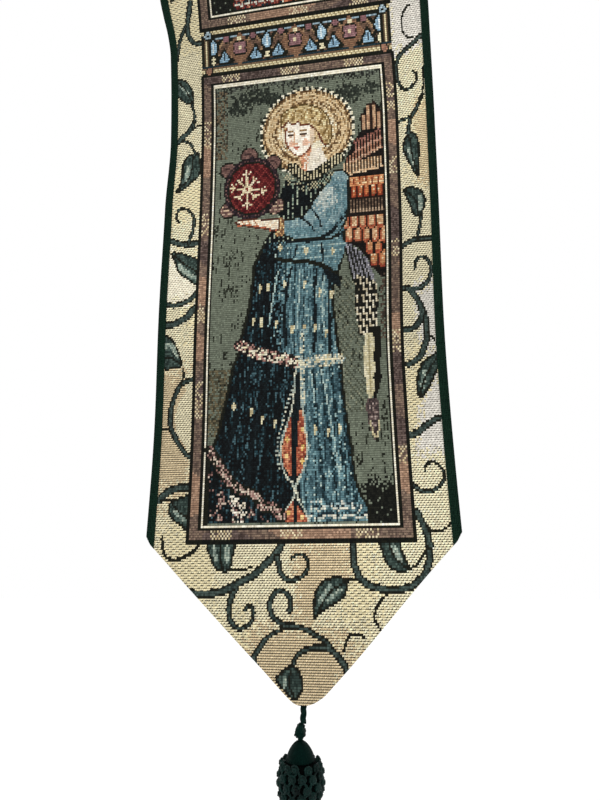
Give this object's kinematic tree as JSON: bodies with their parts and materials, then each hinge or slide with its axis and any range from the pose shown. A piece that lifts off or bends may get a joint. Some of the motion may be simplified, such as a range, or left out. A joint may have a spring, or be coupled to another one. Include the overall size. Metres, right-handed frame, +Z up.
{
  "type": "tapestry wall hanging",
  "caption": "Narrow woven tapestry bell pull with a pointed foot and tassel, hung by a wooden rod and a cord from one nail.",
  "frame": {"origin": "hanging point: top of the nail, under the hanging cord", "axes": "+Z up, the woven front faces -Y, the wall is on the +Y side, +X to the right seen from the front"},
  "size_m": [0.3182, 0.0412, 1.243],
  "materials": {
    "tapestry_weave": "coarse jacquard weave, matt",
    "lining": "plain cotton, matt",
    "binding": "dark green ribbed edge",
    "thread": "sewing thread",
    "cord": "twisted rayon cord, slight sheen",
    "tassel_yarn": "rayon yarn, slight sheen",
    "turned_wood": "dark stain, satin",
    "plain_wood": "unfinished"
  },
  "bodies": {
    "hanger": {"hanging_cord": "cord", "left_cord_knot": "cord", "right_cord_knot": "cord", "left_cord_loop": "cord", "right_cord_loop": "cord"},
    "rod": {"hanging_rod": "turned_wood"},
    "left_finial": {"left_finial": "turned_wood"},
    "right_finial": {"right_finial": "turned_wood"},
    "cloth": {"tapestry_face": "tapestry_weave", "lining_cloth": "lining", "left_binding": "binding", "right_binding": "binding", "rod_sleeve": "lining", "sleeve_stitches": "thread", "cord_anchor": "cord", "tip_stitches": "thread"},
    "tassel_cord": {"tassel_cord": "cord"},
    "tassel_knot": {"tassel_knot": "cord"},
    "tassel": {"tassel_cap": "tassel_yarn", "tassel_core": "plain_wood", "tassel_net": "tassel_yarn", "neck_wrap": "tassel_yarn", "tassel_skirt": "tassel_yarn"}
  },
  "joints": [
    {"name": "rod_turn", "type": "hinge", "parent": "hanger", "child": "rod", "pos_m": [0, 0, -0.11], "axis": [1, 0, 0], "continuous": true},
    {"name": "left_finial_pull", "type": "slide", "parent": "rod", "child": "left_finial", "axis": [-1, 0, 0], "range_m": [0, 0.014]},
    {"name": "right_finial_pull", "type": "slide", "parent": "rod", "child": "right_finial", "axis": [1, 0, 0], "range_m": [0, 0.014]},
    {"name": "cloth_lift", "type": "hinge", "parent": "hanger", "child": "cloth", "pos_m": [0, 0, -0.11], "axis": [-1, 0, 0], "range_deg": [0, 35]},
    {"name": "tassel_sway", "type": "hinge", "parent": "cloth", "child": "tassel_cord", "pos_m": [0, -0.0115, -1.08], "axis": [0, 1, 0], "range_deg": [-40, 40]},
    {"name": "tassel_nod", "type": "hinge", "parent": "tassel_cord", "child": "tassel_knot", "pos_m": [-0.003, -0.0115, -1.1009], "axis": [-1, 0, 0], "range_deg": [-3, 40]},
    {"name": "tassel_spin", "type": "hinge", "parent": "tassel_knot", "child": "tassel", "pos_m": [-0.003, -0.0115, -1.1062], "axis": [0, 0, 1], "continuous": true}
  ]
}
